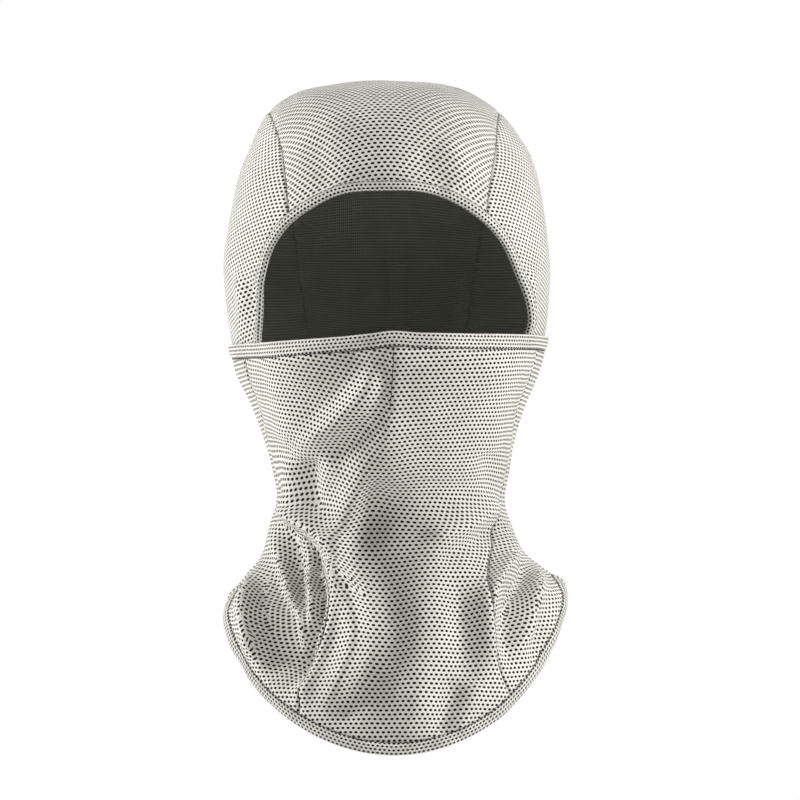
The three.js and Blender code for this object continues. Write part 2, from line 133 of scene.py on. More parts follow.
def profile(z):
    """Half width, reach to the front and reach to the back of the worn shape at heights z."""
    down = -np.asarray(z, float)
    columns = [np.interp(down, -SHAPE[:, 0], SHAPE[:, i]) for i in (1, 2, 3)]
    return [np.maximum(column, LEAST_WIDTH) for column in columns]


def outsideness(points):
    """How far inside (below 0) or outside the worn shape points are, as a ratio."""
    side, front, back = profile(points[:, 2])
    reach = np.where(points[:, 1] < 0, front, back)
    across = (np.abs(points[:, 0]) / side) ** SECTION_POWER
    along = (np.abs(points[:, 1]) / reach) ** SECTION_POWER
    return (across + along) ** (1 / SECTION_POWER) - 1


def normals(points):
    """The outward direction at points of the worn shape."""
    slopes = []
    for axis in np.eye(3) * NORMAL_STEP:
        slopes.append(outsideness(points + axis) - outsideness(points - axis))
    return unit(np.array(slopes).T)


def round_point(angle, z):
    """Points of the worn shape, at angles round it in degrees and heights z."""
    turn = np.radians(np.asarray(angle, float))
    side, front, back = profile(z)
    reach = np.where(np.sin(turn) < 0, front, back)
    across = (np.abs(np.cos(turn)) / side) ** SECTION_POWER
    along = (np.abs(np.sin(turn)) / reach) ** SECTION_POWER
    radius = (across + along) ** (-1 / SECTION_POWER)
    return np.column_stack([radius * np.cos(turn), radius * np.sin(turn), z + 0 * turn])


def shoot(origins, directions):
    """Where rays from inside the worn shape meet it."""
    low = np.zeros(len(origins))
    high = np.full(len(origins), FAR_OUT)
    for _ in range(HALVINGS):
        middle = (low + high) / 2
        points = origins + directions * middle[:, None]
        inside = (points[:, 2] < TOP) & (outsideness(points) < 0)
        low = np.where(inside, middle, low)
        high = np.where(inside, high, middle)
    return origins + directions * low[:, None]


def crown_point(angle, x):
    """Points of the worn shape, at angles over the head in degrees and distances x from its middle."""
    turn = np.radians(np.asarray(angle, float))
    x = np.asarray(x, float) + 0 * turn
    origins = np.column_stack([x, 0 * x, 0 * x + HEAD_CENTRE])
    return shoot(origins, np.column_stack([0 * x, np.sin(turn), np.cos(turn)]))


def front_point(x, z):
    """Points of the front of the worn shape, at x and z of the front view."""
    x = np.asarray(x, float)
    origins = np.column_stack([x, 0 * x, z + 0 * x])
    return shoot(origins, np.tile([0.0, -1.0, 0.0], (len(x), 1)))


# ---- lines on the worn shape

def run_of(points):
    """Length along a line at each of its points."""
    return np.concatenate([[0], np.cumsum(np.linalg.norm(np.diff(points, axis=0), axis=1))])


def at_run(rows, run, places):
    """Rows that go with lengths along a line, read off at other places along it."""
    return np.column_stack([np.interp(places, run, column) for column in rows.T])


def resample(points, spacing, closed=False):
    """A line with its points evenly spaced, about spacing apart."""
    points = np.asarray(points, float)
    if closed:
        points = np.vstack([points, points[:1]])
    run = run_of(points)
    count = max(2, int(round(run[-1] / spacing)) + 1)
    even = at_run(points, run, np.linspace(0, run[-1], count))
    return even[:-1] if closed else even


def mirrored(points):
    return points * np.array([-1.0, 1.0, 1.0])


def hem_height(angle):
    """Height of the edge of the bottom hem at angles round the garment."""
    turn = np.radians(angle)
    out = np.minimum(1, np.abs(np.cos(turn)) ** (2 / SECTION_POWER))
    turned = np.sqrt(1 - out * out)
    full = math.hypot(1, HEM_ROUND) - HEM_ROUND
    drop = np.where(np.sin(turn) < 0, HEM_FRONT_DROP, HEM_BACK_DROP)
    return HEM_SHOULDER - drop * (np.hypot(turned, HEM_ROUND) - HEM_ROUND) / full


def hem_point(angle, above):
    return round_point(angle, hem_height(angle) + above)


EDGE_LINE = spline([(-x, z) for x, z in MASK_EDGE_HALF[:0:-1]] + MASK_EDGE_HALF, 24)
MASK_FIRST_Z, MASK_ROUNDS, MASK_TILT_REACH = -130.0, 10, 70
NAPE_FIRST_Z, NAPE_ROUNDS = -150.0, 24


def mask_point(angle, drop):
    """Points a distance below the mask's top edge, at angles round the garment."""
    z = np.full(len(angle), MASK_FIRST_Z)
    for _ in range(MASK_ROUNDS):
        points = round_point(angle, z)
        tilt = MASK_TILT * np.clip(points[:, 0] / MASK_TILT_REACH, -1, 1)
        z = np.interp(points[:, 0], EDGE_LINE[:, 0], EDGE_LINE[:, 1]) + tilt - drop
    return round_point(angle, z)


def nape_point(angle, above):
    """Points above the line where the back panel meets the hood, at angles round the back."""
    z = np.full(len(angle), NAPE_FIRST_Z)
    for _ in range(NAPE_ROUNDS):
        y = round_point(angle, z)[:, 1]
        z = (z + NAPE_Z + NAPE_SLOPE * (y - NAPE_Y) + above) / 2
    return round_point(angle, z)


def seam_line(seam, place):
    """A seam from its top down, place turning the two numbers of its rows into points."""
    return resample(place(*spline(seam, 12).T), 1.0)


def angle_of(points, lowest=-180):
    """Angle round the garment in degrees, -90 at the front and 90 at the back, from a lowest one up."""
    return np.mod(np.degrees(np.arctan2(points[:, 1], points[:, 0])) - lowest, 360) + lowest


OPENING = spline([(-x, z) for x, z in OPENING_HALF[-2:0:-1]] + OPENING_HALF, 16)
OPENING = resample(OPENING, 2.0, closed=True)
OPENING_CENTRE = -128


def opening_line(beyond):
    """The face opening's edge, moved a distance away from the opening along the cloth."""
    edge = front_point(OPENING[:, 0], OPENING[:, 1])
    ahead = np.roll(edge, -1, 0) - np.roll(edge, 1, 0)
    across = unit(np.cross(ahead, normals(edge)))
    away = edge - np.array([0, edge[:, 1].mean(), OPENING_CENTRE])
    across *= np.sign((across * away).sum(1))[:, None]
    moved = edge + across * beyond
    return round_point(angle_of(moved), moved[:, 2])


def within(points, outline):
    """Which flat points lie inside a closed outline."""
    x, y = points[:, 0], points[:, 1]
    inside = np.zeros(len(points), bool)
    for (ax, ay), (bx, by) in zip(outline, np.roll(outline, -1, 0)):
        if ay == by:
            continue
        crosses = (ay > y) != (by > y)
        inside ^= crosses & (x < (bx - ax) * (y - ay) / (by - ay) + ax)
    return inside


# ---- folds and lean

# How far the garment leans to its left, by height.
LEAN = [(2, -2.5), (-7, -3), (-20, -1), (-35, 0.3), (-90, -0.6), (-133, -0.3), (-180, 0.5), (-211, 1.2),
        (-245, 2.8), (-262, 3.8), (-300, 3.2), (-345, 3)]
# Where the next three act, by height: from 0 to full between the first two, and back between the last.
NECK_DRAW, NECK_SPAN = 1.5, (-138, -165, -214, -240)        # how much closer the knit lies there
WING_TILT, WING_SPAN = 3.0, (-225, -258, -275, -330)        # how much higher the left wing lies
WING_REACH = 88
# How far the lower face opening is drawn to the wearer's left.
OPENING_SKEW, OPENING_SPAN = 3.0, (-58, -128, -135, -180)
FACING = (0.1, 0.5)      # from how far forwards or backwards cloth faces, it takes that side's folds

# Folds seen from the front: height, width towards -X (or below a line that runs to +X), width towards
# +X (or above), and then x and z of each point along the fold.
FRONT_FOLDS = [
    # the pull from the nose dart down to the right cheek, with the hollows beside it
    (3.6, 5, 6.5, -2, -142, -13, -158, -26, -171, -39, -182, -54, -190),
    (-3.4, 15, 7, -6, -134, -19, -148, -31, -160, -46, -171),
    (-3.4, 7, 6, -6, -168, -18, -182, -30, -193),
    (-2.8, 5, 1.6, -1.5, -130, -2, -146, -3, -164, -6, -178),
    (-1.6, 9, 9, 9, -140, 9, -156, 8, -176),
    (2.6, 9, 12, 2, -150, 1, -172, -3, -192, -8, -208),
    # the fronts of the cheeks, flatter than the head under them
    (5.5, 11, 20, -53, -128, -51, -148, -48, -168, -46, -186),
    (3.5, 19, 11, 54, -128, 53, -148, 50, -170, 47, -190, 46, -210),
    # the long ridge from the throat down the chest, and the hollow on its left
    (8.4, 8, 5, -8, -182, -13, -200, -18, -216, -22, -232, -23, -247, -18, -262, -15, -280, -20, -298, -30,
     -314, -38, -324),
    (-2.2, 6, 9, 0, -196, -5, -214, -7, -230, -5, -248, 1, -264, 3, -282, -2, -302, -12, -320),
    (4.6, 10, 13, 16, -224, 19, -246, 18, -272, 14, -300, 8, -322),
    (-2.6, 6, 6, -2, -292, -14, -308, -26, -324),
    # the cloth of the neck that hangs over the right shoulder
    (7.4, 3, 8, -63, -211, -55, -216, -46, -221, -37, -227, -30, -234, -26, -244),
    (-6.5, 7, 3, -60, -221, -50, -228, -42, -236, -36, -246),
    (-4.2, 4.5, 4, -39, -188, -39, -199, -38, -209, -33, -219),
    (3.6, 5, 4, -49, -188, -49, -202, -46, -215),
    (-2.8, 3.4, 3.4, -56, -190, -57, -203, -56, -214),
    # the fan of folds over the right shoulder, in a hollow between the seam and the wing
    (-11, 12, 13, -49, -222, -50, -242, -50, -264, -49, -286, -50, -308),
    (10, 6, 3, -57, -216, -62, -232, -67, -246, -69, -260, -68, -272, -65, -286, -60, -302),
    (7, 2.4, 3.4, -58, -218, -57, -234, -54, -250, -50, -262, -46, -272, -44, -290),
    (5.5, 2.4, 3.4, -50, -222, -47, -234, -43, -246, -40.5, -258, -39.5, -272, -41, -288),
    (-7, 5, 2.3, -40, -232, -36, -246, -32.5, -257, -34, -268, -38, -280, -42, -294, -46, -310),
    (5, 2.4, 6, -22, -236, -26, -249, -27, -258, -30, -270, -34, -282, -38, -294, -43, -308, -44, -320),
    (-1.4, 4, 4, -74, -250, -78, -266, -74, -286, -66, -304),
    # the cloth that hangs clear of the throat
    (4.2, 13, 14, -12, -224, 4, -227, 20, -229, 36, -228, 50, -222),
    # the crease at the left of the throat and the soft folds of the left shoulder
    (4.2, 3.6, 9, 14, -232, 26, -229, 40, -223, 52, -217, 64, -212),
    (-4.6, 6, 3.4, 22, -243, 36, -236, 50, -228, 61, -222),
    (-2.4, 5, 5, 48, -184, 50, -198, 52, -210),
    (5.4, 6, 3.4, 54, -216, 60, -226, 62, -238, 57, -250, 51, -262, 50, -282, 54, -300),
    (-5.6, 4, 4.5, 63, -220, 69, -234, 68, -250, 61, -264, 59, -280, 63, -300),
    (4.6, 4, 4, 68, -226, 74, -240, 74, -256, 70, -272, 68, -288),
    (-3.4, 4, 4, 82, -248, 81, -262, 76, -280, 72, -296),
    (-3.4, 7, 7, 36, -246, 36, -268, 38, -292, 44, -312),
    (-3.4, 5, 5, 34, -300, 29, -316, 24, -332),
    (2.6, 5, 5, 44, -300, 40, -316, 36, -330),
    (2.2, 7, 7, 12, -304, 12, -320, 8, -334),
    # the cheeks of the hood just above the mask's ends
    (4, 4, 3, -76, -92, -75, -110, -77, -126, -78, -140),
    (-4.2, 3, 3, -70, -98, -70, -118, -72, -138),
    (-2, 2.6, 2.6, -80, -104, -79, -120, -80, -134),
    (2.4, 4, 3.4, 73, -92, 73, -110, 74, -128),
    (-2, 3, 3, 78, -100, 78, -116, 78, -130),
    # the brow, drawn towards the crown seams
    (-1.8, 8, 7, -38, -26, -34, -42, -28, -56),
    (-2, 8, 8, 14, -34, 22, -46, 32, -56),
    (1.6, 7, 7, 30, -26, 36, -40, 42, -54),
]
# The same, seen through from the front, for the back of the garment.
BACK_FOLDS = [
    (2.4, 4, 8, -60, -182, -34, -192, 0, -196, 34, -192, 60, -182),
    (-2, 6, 5, -56, -196, -30, -207, 0, -212, 32, -208, 58, -198),
    (2.8, 4.5, 8, -58, -206, -28, -220, 4, -226, 36, -220, 60, -208),
    (2.4, 6, 9, -20, -226, -24, -250, -30, -276, -32, -300),
    (-1.8, 6, 6, -36, -226, -42, -246, -46, -268, -50, -290),
    (2.2, 5, 6, -48, -224, -56, -244, -62, -264, -66, -284),
    (-1.6, 9, 9, 0, -232, 2, -256, -2, -282, 0, -306),
    (2.2, 8, 6, 22, -228, 27, -250, 28, -276, 32, -300),
    (-1.8, 5, 6, 40, -224, 46, -246, 48, -268, 50, -288),
    (2, 5, 5, 54, -222, 60, -242, 66, -262, 70, -280),
    (1.2, 6, 8, -44, -150, -20, -162, 6, -166, 30, -162, 50, -152),
]
FOLD_TAPER = 0.22
FOLD_NARROWEST = 3.0     # half width of the sharpest crease that the knit holds
FOLD_REACH = 2.6         # widths past which a fold is nothing
FOLD_END = 4.0           # how far a fold runs on past its last point


def smoothstep(value, low, high):
    t = np.clip((value - low) / (high - low), 0, 1)
    return t * t * (3 - 2 * t)


def fold_lift(x, z, fold):
    """How far one fold lifts the cloth at x and z of the front view."""
    height, width_low, width_high, *knots = fold
    path = resample(spline(np.reshape(knots, (-1, 2)), 12), 1.0)
    widest = FOLD_REACH * max(width_low, width_high)
    lift = np.zeros(len(x))
    near = np.flatnonzero(
        (x > path[:, 0].min() - widest) & (x < path[:, 0].max() + widest)
        & (z > path[:, 1].min() - widest) & (z < path[:, 1].max() + widest))
    if not len(near):
        return lift
    gap_x = x[near][:, None] - path[:, 0]
    gap_z = z[near][:, None] - path[:, 1]
    nearest = np.argmin(gap_x**2 + gap_z**2, axis=1)
    heading = unit(np.gradient(path, axis=0))
    rows = np.arange(len(near))
    gap_x = gap_x[rows, nearest]
    gap_z = gap_z[rows, nearest]
    across = -gap_x * heading[nearest, 1] + gap_z * heading[nearest, 0]
    past = np.abs(gap_x * heading[nearest, 0] + gap_z * heading[nearest, 1])
    width = np.maximum(np.where(across > 0, width_high, width_low), FOLD_NARROWEST)
    along = nearest / (len(path) - 1)
    taper = smoothstep(along, 0, FOLD_TAPER) * smoothstep(1 - along, 0, FOLD_TAPER)
    lift[near] = height * taper * np.exp(-(across / width) ** 2 - (past / FOLD_END) ** 2)
    return lift


RIPPLE_SEED = 7
RIPPLES = 7
RIPPLE_LENGTHS = (26, 70)
RIPPLE_HEAD, RIPPLE_LOOSE = 0.13, 0.22
LOOSE_SPAN = (-110, -230)


def ripples(points):
    """Slow unevenness of the cloth: little on the head, more on the neck and shoulders."""
    random = np.random.default_rng(RIPPLE_SEED)
    lift = np.zeros(len(points))
    for _ in range(RIPPLES):
        heading = random.normal(size=3)
        heading /= np.linalg.norm(heading)
        wavelength = random.uniform(*RIPPLE_LENGTHS)
        lift += np.sin(points @ heading * 2 * math.pi / wavelength + random.uniform(0, 2 * math.pi))
    loose = smoothstep(points[:, 2], *LOOSE_SPAN)
    return lift * (RIPPLE_HEAD + RIPPLE_LOOSE * loose)


def span_share(z, span):
    """How much of an effect heights z take, of one that acts within a span."""
    return smoothstep(z, *span[:2]) * (1 - smoothstep(z, *span[2:]))


def dress(points, out):
    """Points of the worn shape moved out to a layer of cloth, with its folds and its lean."""
    points = np.asarray(points, float)
    normal = normals(points)
    heights, shifts = np.array(LEAN[::-1], float).T
    moved = points.copy()
    moved[:, 0] += np.interp(points[:, 2], heights, shifts)
    moved[:, 2] += WING_TILT * points[:, 0] / WING_REACH * span_share(points[:, 2], WING_SPAN)
    facing_front = smoothstep(-normal[:, 1], *FACING)
    facing_back = smoothstep(normal[:, 1], *FACING)
    moved[:, 0] += OPENING_SKEW * facing_front * span_share(points[:, 2], OPENING_SPAN)
    lift = ripples(points) - NECK_DRAW * span_share(points[:, 2], NECK_SPAN)
    for facing, folds in ((facing_front, FRONT_FOLDS), (facing_back, BACK_FOLDS)):
        for fold in folds:
            lift += facing * fold_lift(moved[:, 0], moved[:, 2], fold)
    return moved + normal * (out + lift)[:, None]


# ---- materials

CLOTH_MAP = "cloth"
DOT_PITCH, DOT_ROW = 2.7, 2.2
DOT_HALF_WIDTH, DOT_HALF_HEIGHT = 0.86, 0.66
DOT_EDGE = (0.82, 1.18)          # a dot fades out between these shares of its half width
DOT_WANDER = 0.5                 # how far the rows of dots stray, as a length
HOOD_STRETCH = (1.15, 0.97)      # the hood's knit is drawn wide over the head
# Sizes of unevenness in the cloth, as noise scales for each millimetre of it.
WANDER, PATCHES, FIBRE, LINING_FIBRE, THREAD_FIBRE = 0.11, 0.035, 2.4, 1.8, 3.0
KNIT_DEPTH_M, LINING_DEPTH_M, THREAD_DEPTH_M = 0.0004, 0.0001, 0.00006
KNIT_SHEEN = 0.25
LINING_RIB, LINING_CROSS_RIB = 1.5, 1.1


class Nodes:
    """A material's node tree, with short ways to add to it."""

    def __init__(self, name):
        self.material = bpy.data.materials.new(name)
        self.material.use_nodes = True
        self.tree = self.material.node_tree
        self.shader = self.tree.nodes["Principled BSDF"]

    def add(self, kind, **settings):
        made = self.tree.nodes.new(kind)
        for key, value in settings.items():
            setattr(made, key, value)
        return made

    def feed(self, socket, value):
        if isinstance(value, bpy.types.NodeSocket):
            self.tree.links.new(value, socket)
        else:
            socket.default_value = value

    def math(self, operation, *values):
        made = self.add("ShaderNodeMath", operation=operation)
        for socket, value in zip(made.inputs, values):
            self.feed(socket, value)
        return made.outputs[0]

    def spread(self, value, low, high, to_low, to_high):
        made = self.add("ShaderNodeMapRange", interpolation_type="SMOOTHSTEP")
        for socket, given in zip(made.inputs, (value, low, high, to_low, to_high)):
            self.feed(socket, given)
        return made.outputs[0]

    def mix(self, factor, first, second):
        made = self.add("ShaderNodeMix", data_type="RGBA")
        self.feed(made.inputs[0], factor)
        self.feed(made.inputs[6], first)
        self.feed(made.inputs[7], second)
        return made.outputs[2]

    def waves(self, value, length):
        """Even waves, each a length long."""
        return self.math("SINE", self.math("MULTIPLY", value, 2 * math.pi / length))

    def noise(self, vector, scale, detail=2.0):
        made = self.add("ShaderNodeTexNoise")
        self.feed(made.inputs["Vector"], vector)
        made.inputs["Scale"].default_value = scale
        made.inputs["Detail"].default_value = detail
        return made.outputs[0]

    def cloth_map(self):
        """The place on the flat cloth, in millimetres: its vector, and its two lengths."""
        place = self.add("ShaderNodeUVMap", uv_map=CLOTH_MAP).outputs[0]
        parts = self.add("ShaderNodeSeparateXYZ")
        self.feed(parts.inputs[0], place)
        return place, parts.outputs[0], parts.outputs[1]

    def finish(self, colour, height, depth_m, roughness, sheen):
        """Joins colour and bump to the shader and gives the material back."""
        self.feed(self.shader.inputs["Base Color"], colour)
        self.feed(self.shader.inputs["Roughness"], roughness)
        self.shader.inputs["Specular IOR Level"].default_value = 0.25
        self.feed(self.shader.inputs["Sheen Weight"], sheen)
        self.shader.inputs["Sheen Roughness"].default_value = 0.5
        bump = self.add("ShaderNodeBump")
        bump.inputs["Distance"].default_value = depth_m
        self.feed(bump.inputs["Height"], height)
        self.feed(self.shader.inputs["Normal"], bump.outputs[0])
        return self.material


def pin_dots(nodes, across, along, wander):
    """How far a place is inside a dot of the knit, from 0 to 1, the dots standing in staggered rows."""
    across = nodes.math("ADD", across, nodes.math("MULTIPLY", wander, DOT_WANDER))
    along = nodes.math("ADD", along, nodes.math("MULTIPLY", wander, -DOT_WANDER))
    row = nodes.math("FLOOR", nodes.math("DIVIDE", along, DOT_ROW))
    stagger = nodes.math("MULTIPLY", nodes.math("FLOORED_MODULO", row, 2.0), 0.5)
    place = nodes.math("ADD", nodes.math("DIVIDE", across, DOT_PITCH), stagger)
    cell_x = nodes.math("SUBTRACT", nodes.math("FRACT", place), 0.5)
    cell_y = nodes.math("SUBTRACT", nodes.math("FRACT", nodes.math("DIVIDE", along, DOT_ROW)), 0.5)
    off_x = nodes.math("MULTIPLY", cell_x, DOT_PITCH / DOT_HALF_WIDTH)
    off_y = nodes.math("MULTIPLY", cell_y, DOT_ROW / DOT_HALF_HEIGHT)
    squares = nodes.math("ADD", nodes.math("MULTIPLY", off_x, off_x), nodes.math("MULTIPLY", off_y, off_y))
    return nodes.spread(nodes.math("SQRT", squares), *DOT_EDGE, 1.0, 0.0)


def knit_material(name, light, shade, rib):
    """Pin-dot knit: dark pits in staggered rows between pale, slightly uneven courses of loops."""
    nodes = Nodes(name)
    place, across, along = nodes.cloth_map()
    wander = nodes.math("SUBTRACT", nodes.noise(place, WANDER), 0.5)
    dots = pin_dots(nodes, across, along, wander)
    loops = nodes.waves(along, rib)
    wales = nodes.waves(across, rib)
    weave = nodes.math("MULTIPLY", nodes.math("ADD", loops, wales), 0.25)
    fibre = nodes.math("SUBTRACT", nodes.noise(place, FIBRE, 4.0), 0.5)
    patches = nodes.noise(place, PATCHES)
    tone = nodes.math("ADD", patches, nodes.math("ADD", nodes.math("MULTIPLY", weave, 0.35), fibre))
    ground = nodes.mix(nodes.spread(tone, 0.1, 0.9, 0.0, 1.0), shade, light)
    colour = nodes.mix(dots, ground, KNIT_DOT)
    fine = nodes.math("ADD", nodes.math("MULTIPLY", weave, 0.3), nodes.math("MULTIPLY", fibre, 0.3))
    height = nodes.math("SUBTRACT", fine, dots)
    roughness = nodes.spread(fibre, -0.4, 0.4, 0.78, 0.92)
    sheen = nodes.spread(dots, 0.0, 1.0, KNIT_SHEEN, 0.0)
    return nodes.finish(colour, height, KNIT_DEPTH_M, roughness, sheen)


def lining_material():
    """Smooth charcoal lining with very fine cross ribs."""
    nodes = Nodes("lining_knit")
    place, across, along = nodes.cloth_map()
    rib = nodes.waves(along, LINING_RIB)
    cross = nodes.waves(across, LINING_CROSS_RIB)
    fibre = nodes.math("SUBTRACT", nodes.noise(place, LINING_FIBRE, 4.0), 0.5)
    height = nodes.math("ADD", nodes.math("ADD", rib, nodes.math("MULTIPLY", cross, 0.5)), fibre)
    tone = nodes.spread(height, -1.2, 1.2, 0.0, 1.0)
    colour = nodes.mix(tone, LINING_DARK, LINING_LIGHT)
    return nodes.finish(colour, height, LINING_DEPTH_M, 0.85, 0.1)


def thread_material(name, dark, light):
    """Twisted polyester thread."""
    nodes = Nodes(name)
    place, across, along = nodes.cloth_map()
    lean = nodes.math("ADD", nodes.math("MULTIPLY", across, 3.0), nodes.math("MULTIPLY", along, 4.0))
    twist = nodes.math("SINE", nodes.math("MULTIPLY", lean, math.pi))
    fibre = nodes.noise(place, THREAD_FIBRE, 3.0)
    height = nodes.math("ADD", twist, fibre)
    colour = nodes.mix(nodes.spread(height, -0.8, 1.6, 0.0, 1.0), dark, light)
    return nodes.finish(colour, height, THREAD_DEPTH_M, 0.6, 0.1)


KNIT_LIGHT, KNIT_SHADE = (0.86, 0.845, 0.79, 1), (0.68, 0.665, 0.61, 1)
FOLDED_LIGHT, FOLDED_SHADE = (0.84, 0.825, 0.77, 1), (0.66, 0.645, 0.59, 1)
KNIT_DOT = (0.016, 0.016, 0.012, 1)
LINING_DARK, LINING_LIGHT = (0.27, 0.275, 0.24, 1), (0.42, 0.43, 0.38, 1)
KNIT = knit_material("pin_dot_knit", KNIT_LIGHT, KNIT_SHADE, 0.62)
BINDING_KNIT = knit_material("folded_knit", FOLDED_LIGHT, FOLDED_SHADE, 0.55)
LINING_KNIT = lining_material()
# The near-black thread is painted shade: its darkness stands in for the shadow in the seam creases and stitch
# grooves, where the stitches are really about as pale as the cloth; the pale thread is nearer their own
# colour.
CREASE_SHADE_THREAD = thread_material("thread_darkened_as_crease_shade", (0.012, 0.012, 0.010, 1), (0.06, 0.06, 0.052, 1))
PALE_THREAD = thread_material("pale_thread", (0.22, 0.215, 0.20, 1), (0.46, 0.45, 0.42, 1))
ELASTIC = thread_material("elastic", (0.014, 0.014, 0.014, 1), (0.045, 0.045, 0.045, 1))


# ---- mesh making

def make_piece(name, points, faces, uv, material):
    """A smooth-shaded piece from points in millimetres, with its place on the flat cloth as its map."""
    mesh = bpy.data.meshes.new(name)
    mesh.from_pydata((points * MM).tolist(), [], faces)
    layer = mesh.uv_layers.new(name=CLOTH_MAP)
    corners = np.zeros(len(mesh.loops), np.int32)
    mesh.loops.foreach_get("vertex_index", corners)
    layer.data.foreach_set("uv", uv[corners].astype(np.float32).ravel())
    mesh.materials.append(material)
    mesh.shade_smooth()
    piece = bpy.data.objects.new(name, mesh)
    bpy.context.scene.collection.objects.link(piece)
    return piece


HOOD_SPACING = 2.0
TUBE_SPACING = 1.5
ROUND_SCALE = 85.0       # millimetres of flat lattice for each radian round the garment
CROWN_SCALE = 95.0       # the same over the head
CROWN_HALF, CROWN_WIDEN = 59, 0.06      # its half width, and how much longer the cloth is than x there
SLOPE = np.concatenate([[0], np.cumsum(np.hypot(np.diff(SHAPE[:, 0]), np.diff(SHAPE[:, 1])))])


def walked(walk):
    """Length of the way of each point through a list of places."""
    return sum(np.linalg.norm(b - a, axis=1) for a, b in zip(walk, walk[1:]))


class Round:
    """The flat domain of the cloth round the garment: along is the angle, down is the side's slope."""

    def __init__(self, middle):
        self.middle = middle

    def angle(self, points):
        return angle_of(points, self.middle - 180)

    def flatten(self, points):
        down = np.interp(-points[:, 2], -SHAPE[:, 0], SLOPE)
        return np.column_stack([np.radians(self.angle(points)) * ROUND_SCALE, -down])

    def raise_up(self, flat):
        z = np.interp(-flat[:, 1], SLOPE, SHAPE[:, 0])
        return round_point(np.degrees(flat[:, 0] / ROUND_SCALE), z)

    def cloth_place(self, points):
        """Lengths on the cloth: round from the middle angle, and up the cloth from its foot."""
        angle, middle = self.angle(points), self.middle
        shares = np.linspace(0, 1, 25)
        walk = [round_point(middle + (angle - middle) * share, points[:, 2]) for share in shares]
        round_way = walked(walk)
        shares = np.linspace(0, 1, 49)
        walk = [round_point(angle, FOOT + (points[:, 2] - FOOT) * share) for share in shares]
        return np.column_stack([np.sign(angle - middle) * round_way, walked(walk)])


class Crown:
    """The flat domain of the strip over the head: across is x, along is the angle over the head."""

    @staticmethod
    def flatten(points):
        over = np.arctan2(points[:, 1], points[:, 2] - HEAD_CENTRE)
        return np.column_stack([points[:, 0], over * CROWN_SCALE])

    @staticmethod
    def raise_up(flat):
        return crown_point(np.degrees(flat[:, 1] / CROWN_SCALE), flat[:, 0])

    @staticmethod
    def cloth_place(points):
        """Lengths on the cloth: across from the middle, and back over the head from the brow."""
        turns = np.radians(np.arange(-100, 161, 2.0))
        ridge = crown_point(np.degrees(turns), 0)
        over = np.arctan2(points[:, 1], points[:, 2] - HEAD_CENTRE)
        widen = 1 + CROWN_WIDEN * (points[:, 0] / CROWN_HALF) ** 2
        return np.column_stack([points[:, 0] * widen, np.interp(over, turns, run_of(ridge))])


def line_gap(points, line):
    """Distance from points to the nearest point of a line."""
    gaps = np.full(len(points), 1e9)
    for spot in line:
        gaps = np.minimum(gaps, ((points - spot) ** 2).sum(1))
    return np.sqrt(gaps)


EDGE_CLEAR = 0.62        # spacings kept between the lattice and the outline


def fill(outline, spacing):
    """Points and triangles of a flat area inside an outline, on an even lattice."""
    low, high = outline.min(0), outline.max(0)
    row_step = spacing * math.sqrt(3) / 2
    columns = np.arange(low[0], high[0] + spacing, spacing)
    rows = np.arange(low[1], high[1] + row_step, row_step)
    lattice = np.array([(x + spacing / 2 * (i % 2), y) for i, y in enumerate(rows) for x in columns])
    lattice = lattice[within(lattice, outline)]
    lattice = lattice[line_gap(lattice, outline) > EDGE_CLEAR * spacing]
    everything = [Vector(p) for p in np.vstack([outline, lattice])]
    made = geometry.delaunay_2d_cdt(everything, [], [list(range(len(outline)))], 1, 1e-4)
    return np.array([tuple(v) for v in made[0]]), [tuple(face) for face in made[2]]


def turned_out(points, faces):
    """The triangles, all turned so that they face out of the worn shape."""
    faces = np.array(faces)
    a, b, c = (points[faces[:, i]] for i in range(3))
    facing = (np.cross(b - a, c - a) * normals((a + b + c) / 3)).sum(1)
    faces[facing < 0] = faces[facing < 0][:, ::-1]
    return faces.tolist()


def lay_cloth(outline, domain, spacing):
    """Cloth inside an outline on the worn shape: its points there, its triangles and its map."""
    flat, faces = fill(domain.flatten(resample(outline, spacing, closed=True)), spacing)
    points = domain.raise_up(flat)
    return points, turned_out(points, faces), domain.cloth_place(points)


RELAX_ROUNDS = 240
RELAX_STEP = 1.6


def relaxed_map(points, faces, uv):
    """The map of a piece of cloth, eased until its threads keep their length over the folds."""
    faces = np.array(faces)
    ends = np.sort(np.vstack([faces[:, [0, 1]], faces[:, [1, 2]], faces[:, [2, 0]]]), axis=1)
    a, b = np.unique(ends, axis=0).T
    length = np.linalg.norm(points[b] - points[a], axis=1)
    count = len(points)
    uses = np.bincount(a, minlength=count) + np.bincount(b, minlength=count)
    uv = uv.copy()
    for _ in range(RELAX_ROUNDS):
        gap = uv[b] - uv[a]
        now = np.maximum(np.linalg.norm(gap, axis=1), 1e-6)
        pull = gap * (0.5 * (1 - length / now))[:, None]
        for axis in (0, 1):
            moved = np.bincount(a, pull[:, axis], count) - np.bincount(b, pull[:, axis], count)
            uv[:, axis] += RELAX_STEP * moved / uses
    return uv


BROW_ARCH, TEMPLE_FALL, DART_TURN = 0.0045, 0.2, 0.17
DART_SPAN = (-228, -178)
SEAM_DIP, SEAM_DIP_WIDTH = 0.7, 1.3


def brow_rows(points):
    """How much the crown's rows arch over the brow."""
    return BROW_ARCH * points[:, 0] ** 2


def temple_rows(points):
    """How much the rows on the hood's sides fall towards the back."""
    return TEMPLE_FALL * points[:, 1]


def mask_rows(points):
    """How much the nose dart turns the rows on its right."""
    return DART_TURN * np.minimum(points[:, 0], 0) * smoothstep(points[:, 2], *DART_SPAN)


